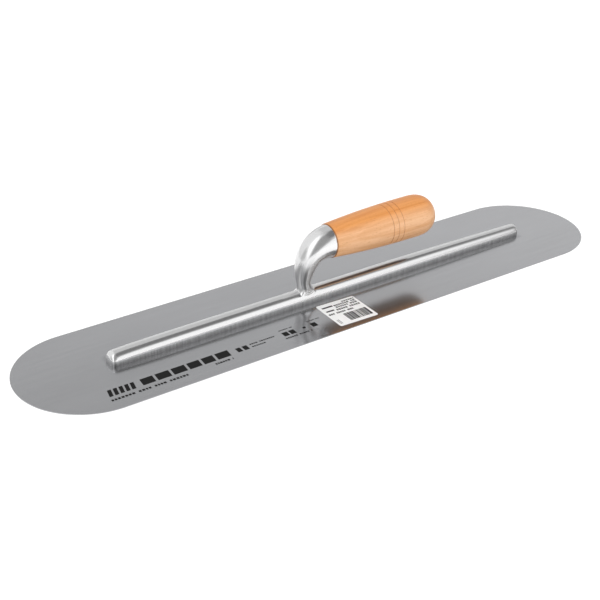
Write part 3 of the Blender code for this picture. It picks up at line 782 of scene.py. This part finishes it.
def handle_outline():
    """(x, radius) of the turned outside, from the front edge to the rim of the recess in the butt."""
    edge_x = HANDLE_FRONT_X + HANDLE_EDGE
    edge_radius = handle_radius(edge_x)
    points = arc((edge_x, edge_radius - HANDLE_EDGE), HANDLE_EDGE, pi, pi / 2.0, 5)
    taper = HANDLE_TAPER_END_X - edge_x
    stations = {edge_x + taper * step / HANDLE_TAPER_STEPS for step in range(1, HANDLE_TAPER_STEPS)}
    stations = {x for x in stations if all(abs(x - groove) > GROOVE_CLEAR for groove in GROOVES_X)}
    for groove in GROOVES_X:
        steps = range(-GROOVE_STEPS, GROOVE_STEPS + 1)
        stations |= {groove + GROOVE_CLEAR * step / GROOVE_STEPS for step in steps}
    points += [(x, turned_radius(x)) for x in sorted(stations)]
    for step in range(HANDLE_BUTT_STEPS + 1):
        x = HANDLE_TAPER_END_X + HANDLE_BUTT_LENGTH * sin(pi / 2.0 * step / HANDLE_BUTT_STEPS)
        if handle_radius(x) > RECESS_RADIUS + RECESS_RIM:
            points.append((x, handle_radius(x)))
    rim = 1.0 - ((RECESS_RADIUS + RECESS_RIM) / HANDLE_RADIUS) ** HANDLE_BUTT_POWER
    rim_x = HANDLE_TAPER_END_X + HANDLE_BUTT_LENGTH * rim ** (1.0 / HANDLE_BUTT_POWER)
    points += arc((rim_x - RECESS_RIM, RECESS_RADIUS + RECESS_RIM), RECESS_RIM, 0.0, -pi / 2.0, 6)
    return points


def make_handle(finish):
    """The turned handle, with the tang's bore in front and the screw's recess in the butt."""
    inside = [
        (RECESS_FLOOR_X, RECESS_RADIUS),
        (RECESS_FLOOR_X, SCREW_BORE_RADIUS),
        (TANG_BORE_END_X, SCREW_BORE_RADIUS),
        (TANG_BORE_END_X, TANG_RADIUS + HANDLE_GAP),
        (HANDLE_FRONT_X, TANG_RADIUS + HANDLE_GAP),
    ]
    mesh = turned_mesh("handle", handle_outline() + inside, HANDLE_STEPS, closed=True)
    mesh.transform(Matrix.Translation((0.0, 0.0, HANDLE_AXIS_Z)))
    return piece("turned_handle", mesh, finish, ["handle"], 35.0)


def make_washer(finish):
    low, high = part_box("handle_washer")
    inner, edge = SCREW_RADIUS + HANDLE_GAP, WASHER_EDGE
    profile = [(low.x, inner), (low.x, WASHER_RADIUS - edge)]
    profile += [(low.x + edge, WASHER_RADIUS), (high.x - edge, WASHER_RADIUS)]
    profile += [(high.x, WASHER_RADIUS - edge)]
    profile += [(high.x, inner + edge), (high.x - edge, inner)]
    mesh = turned_mesh("washer", profile, SMALL_STEPS, closed=True)
    mesh.transform(Matrix.Translation((0.0, 0.0, HANDLE_AXIS_Z)))
    return piece("butt_washer", mesh, finish, ["handle_washer"])


def make_screw(finish):
    """A slotted raised-head screw."""
    low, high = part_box("handle_screw")
    seat = high.x - SCREW_HEAD_HEIGHT
    brim = seat + SCREW_BRIM
    dome = high.x - brim
    radius = (SCREW_HEAD_RADIUS**2 + dome**2) / (2.0 * dome)
    half = asin(SCREW_HEAD_RADIUS / radius)
    profile = [
        (low.x, 0.0),
        (low.x, SCREW_RADIUS - SCREW_TIP),
        (low.x + SCREW_TIP, SCREW_RADIUS),
        (seat, SCREW_RADIUS),
        (seat, SCREW_HEAD_RADIUS - SCREW_HEAD_EDGE),
        (seat + SCREW_HEAD_EDGE, SCREW_HEAD_RADIUS),
    ]
    profile += arc((high.x - radius, 0.0), radius, half, 0.0, 12)
    mesh = turned_mesh("screw", profile, SMALL_STEPS)
    bm = bmesh.new()
    depth, width = SCREW_SLOT
    size = (2.0 * depth, 3.0 * SCREW_HEAD_RADIUS, width)
    bmesh.ops.create_cube(bm, size=1.0, matrix=Matrix.Diagonal((*size, 1.0)))
    slot = mesh_from(bm, "slot")
    slot.transform(Matrix.Translation((high.x, 0.0, 0.0)) @ Matrix.Rotation(SCREW_SLOT_TURN, 4, "X"))
    mesh = cut(mesh, slot)
    mesh.transform(Matrix.Translation((0.0, 0.0, HANDLE_AXIS_Z)))
    return piece("butt_screw", mesh, finish, ["handle_screw"])


# ---------------------------------------------------------------- label and printing
def rounded_outline(half_x, half_y, corner, steps=8):
    outline = []
    for quarter, (side_x, side_y) in enumerate(((1, 1), (-1, 1), (-1, -1), (1, -1))):
        middle = (side_x * (half_x - corner), side_y * (half_y - corner))
        outline += arc(middle, corner, pi / 2.0 * quarter, pi / 2.0 * (quarter + 1), steps)
    return outline


def slab(bm, outline, bottom, thickness):
    """Adds a thin closed slab with this outline."""
    face = bm.faces.new([bm.verts.new((x, y, bottom)) for x, y in outline])
    raised = bmesh.ops.extrude_face_region(bm, geom=[face])
    top = [item for item in raised["geom"] if isinstance(item, bmesh.types.BMVert)]
    bmesh.ops.translate(bm, verts=top, vec=(0.0, 0.0, thickness))


def block(x0, x1, y0, y1, lean=0.0):
    """Outline of a box of print in millimetres, leaning along X by this share of its height."""
    shift = lean * (y1 - y0)
    return [(x * MM, y * MM) for x, y in ((x0, y0), (x1, y0), (x1 + shift, y1), (x0 + shift, y1))]


def word_blocks(draw, x0, x1, y0, y1, letter, gap):
    """A run of small blocks between x0 and x1 that stands for a line of small print."""
    outlines = []
    x, left = x0, draw.randint(3, 8)
    while x < x1 - 0.4 * letter:
        if left == 0:
            x += letter * 1.1
            left = draw.randint(3, 8)
            continue
        width = min(letter * draw.uniform(0.7, 1.15), x1 - x)
        outlines.append(block(x, x + width, y0, y1))
        x += width + gap
        left -= 1
    return outlines


def printed(name, outlines, bottom, finish, place=None):
    """A piece of print: a thin slab of ink for each outline."""
    bm = bmesh.new()
    for outline in outlines:
        slab(bm, outline, bottom, INK)
    mesh = mesh_from(bm, name)
    if place is not None:
        mesh.transform(place)
    return piece(name, mesh, finish)


def make_blade_print(finish):
    """Generic marks in place of the maker's print: slanted bars, solid blocks and lines of small blocks."""
    draw = random.Random(5)
    bottom = BLADE_TOP + INK_GAP
    x0, x1, y0, y1 = EMBLEM_BAR
    shifts = [EMBLEM_PITCH * step for step in range(EMBLEM_BARS)]
    bold = [block(x0 + shift, x1 + shift, y0, y1, EMBLEM_LEAN) for shift in shifts]
    x = NAME_START
    for width in NAME_WIDTHS:
        bold.append(block(x, x + width, NAME_LOW, NAME_HIGH, NAME_LEAN))
        x += width + NAME_GAP
    bold += [block(*place) for place in SIZE_BLOCKS]
    small = []
    for line in BLADE_LINES:
        small += word_blocks(draw, *line)
    printed("blade_print_bold", bold, bottom, finish)
    printed("blade_print_small", small, bottom, finish)


def make_label(paper, ink):
    """The label's sheet, its lines of print and its stripes, which stand for a barcode."""
    place = Matrix.Translation((LABEL_CENTRE.x, LABEL_CENTRE.y, 0.0)) @ Matrix.Rotation(LABEL_TURN, 4, "Z")
    bm = bmesh.new()
    half = (LABEL_SIZE[0] / 2.0, LABEL_SIZE[1] / 2.0)
    slab(bm, rounded_outline(*half, LABEL_CORNER), BLADE_TOP + LABEL_GAP, LABEL_THICKNESS)
    mesh = mesh_from(bm, "label")
    mesh.transform(place)
    piece("label_sheet", mesh, paper, ["label"])

    draw = random.Random(11)
    bottom = BLADE_TOP + LABEL_GAP + LABEL_THICKNESS + INK_GAP
    left, top = -half[0] / MM, half[1] / MM
    text = []
    for x0, x1, down, height, letter, gap in LABEL_LINES:
        text += word_blocks(draw, left + x0, left + x1, top - down - height, top - down, letter, gap)
    for row in range(SIDE_PRINT_COUNT[0]):
        for step in range(SIDE_PRINT_COUNT[1]):
            x = left + SIDE_PRINT[0] + SIDE_PRINT_PITCH[0] * row
            y = -top + SIDE_PRINT[1] + SIDE_PRINT_PITCH[1] * step
            text.append(block(x, x + SIDE_PRINT_BLOCK[0], y, y + SIDE_PRINT_BLOCK[1]))
    text += [block(left + x0, left + x1, top - low, top - high) for x0, x1, low, high in LABEL_HEADINGS]
    printed("label_print", text, bottom, ink, place)

    bars = []
    x = left + STRIPES_START
    while x < left + STRIPES_END:
        width = draw.choice(STRIPE_WIDTHS)
        bars.append(block(x, x + width, -top + STRIPES_LOW, -top + STRIPES_HIGH))
        x += width + draw.choice(STRIPE_GAPS)
    printed("label_stripes", bars, bottom, ink, place)


# ================================================================ floor, light and camera
def make_floor():
    """A plain white floor that gives a little light of its own, as a lit table does. It casts no shadow
    and lights no wood or paper, so the handle's underside stays dark."""
    made, tree, shader = new_material("white_floor")
    plug(tree, shader, Base_Color=grey(0.82), Roughness=0.9, Specular_IOR_Level=0.0)
    plug(tree, shader, Emission_Color=grey(1.0), Emission_Strength=0.38)
    bm = bmesh.new()
    bmesh.ops.create_grid(bm, x_segments=1, y_segments=1, size=FLOOR_HALF_SIZE)
    mesh = mesh_from(bm, "floor")
    mesh.materials.append(made)
    floor = bpy.data.objects.new("floor", mesh)
    bpy.context.scene.collection.objects.link(floor)
    floor.location.z = -FLOOR_GAP
    floor.visible_diffuse = False
    floor.visible_shadow = False


def make_world():
    """The studio as the metal sees it, painted by azimuth (0 at -Y, 90 at +X) and elevation in degrees:
    a pale room, a dark front with a tall strip light on its left and a large panel on its right, and
    little light from below the horizon."""
    world = bpy.data.worlds.new("studio")
    bpy.context.scene.world = world
    world.use_nodes = True
    tree = Tree(world.node_tree)
    background = world.node_tree.nodes["Background"]
    way = tree.node("TexCoord").outputs["Generated"]
    parts = tree.node("SeparateXYZ", {"Vector": way}).outputs
    x, y, z = parts["X"], parts["Y"], parts["Z"]
    azimuth = tree.math("DEGREES", tree.math("ARCTAN2", x, tree.math("MULTIPLY", y, -1.0)))
    elevation = tree.math("DEGREES", tree.math("ARCSINE", z))

    def slanted(start, slope, above=0.0):
        """An azimuth that moves by slope for each degree of elevation above a level."""
        height = tree.math("MAXIMUM", tree.math("SUBTRACT", elevation, above), 0.0)
        return tree.math("MULTIPLY_ADD", height, slope, start)

    def past(value, edge, soft):
        """0 before the edge and 1 past it."""
        return tree.step(tree.math("SUBTRACT", value, edge), -soft, soft)

    def window(left, right, bottom, top, soft=4.0):
        mask = tree.math("MULTIPLY", past(azimuth, left, soft), past(right, azimuth, soft))
        mask = tree.math("MULTIPLY", mask, past(elevation, bottom, soft))
        return tree.math("MULTIPLY", mask, past(top, elevation, soft))

    # The pale room, and what is darker low and high at its back.
    level = tree.step(elevation, -6.0, -1.0, 0.15, 0.84)
    back = tree.step(elevation, 8.0, 25.0, 0.52, 0.93)
    back = tree.math("MULTIPLY", back, tree.step(elevation, 20.0, 37.0, 1.0, 0.64))
    level = tree.blend(window(95.0, 170.0, -90.0, 100.0, 8.0), level, back)
    # The ceiling, a dim wall on the left, the dark front and a darker strip above the panel.
    level = tree.blend(past(elevation, 76.0, 6.0), level, tree.step(x, -0.25, 0.3, 0.86, 0.45))
    level = tree.blend(window(-108.0, -70.0, -90.0, 36.0, 8.0), level, 0.55)
    level = tree.blend(window(-43.0, 97.0, -90.0, 78.0), level, 0.33)
    level = tree.blend(window(15.0, 97.0, 44.0, 76.0, 5.0), level, 0.18)
    # The strip light, the panel and the dark below the horizon.
    level = tree.blend(window(slanted(-58.0, -0.68), -43.0, -4.0, 82.0), level, 1.30)
    level = tree.blend(window(slanted(-8.0, 0.95, 5.0), slanted(37.0, 0.62), -90.0, 39.5, 8.0), level, 1.11)
    level = tree.math("MULTIPLY", level, tree.step(elevation, -6.0, -1.0, 0.2, 1.0))
    tree.tree.links.new(level, background.inputs["Strength"])
    background.inputs["Color"].default_value = grey(1.0)


def make_fill_lights():
    """Two soft fills for wood, paper and floor: one overhead and one low in front. Metal doesn't mirror
    them."""
    for name, strength, tilt, turn in FILLS:
        data = bpy.data.lights.new(name, "SUN")
        data.energy = strength
        data.angle = FILL_SPREAD
        fill = bpy.data.objects.new(name, data)
        bpy.context.scene.collection.objects.link(fill)
        fill.rotation_euler = (radians(tilt), 0.0, radians(turn))
        fill.visible_glossy = False


def make_camera():
    """The photo's camera, from its place, the way it looks, its roll and its lens."""
    level = cos(CAMERA_ELEVATION)
    back = Vector((sin(CAMERA_AZIMUTH) * level, -cos(CAMERA_AZIMUTH) * level, sin(CAMERA_ELEVATION)))
    right = (-back).cross(Vector((0.0, 0.0, 1.0))).normalized()
    down = (-back).cross(right)
    turned_right = right * cos(CAMERA_ROLL) + down * sin(CAMERA_ROLL)
    turned_up = right * sin(CAMERA_ROLL) - down * cos(CAMERA_ROLL)
    data = bpy.data.cameras.new("camera")
    data.lens = CAMERA_LENS
    data.clip_start, data.clip_end = 0.01, 100.0
    camera = bpy.data.objects.new("camera", data)
    bpy.context.scene.collection.objects.link(camera)
    turn = Matrix((turned_right, turned_up, back)).transposed().to_4x4()
    camera.matrix_world = Matrix.Translation(CAMERA_PLACE) @ turn
    bpy.context.scene.camera = camera


def main():
    make_camera()
    make_world()
    make_fill_lights()
    make_floor()
    ink = ink_material("black_ink", 0.005)
    make_blade(blade_material())
    make_rivets(rivet_material())
    make_mounting(aluminium_material())
    make_handle(beech_material())
    zinc = zinc_material()
    make_washer(zinc)
    make_screw(zinc)
    make_label(paper_material(), ink_material("label_ink", 0.012))
    make_blade_print(ink)
    bpy.context.scene.view_settings.view_transform = "Standard"


main()
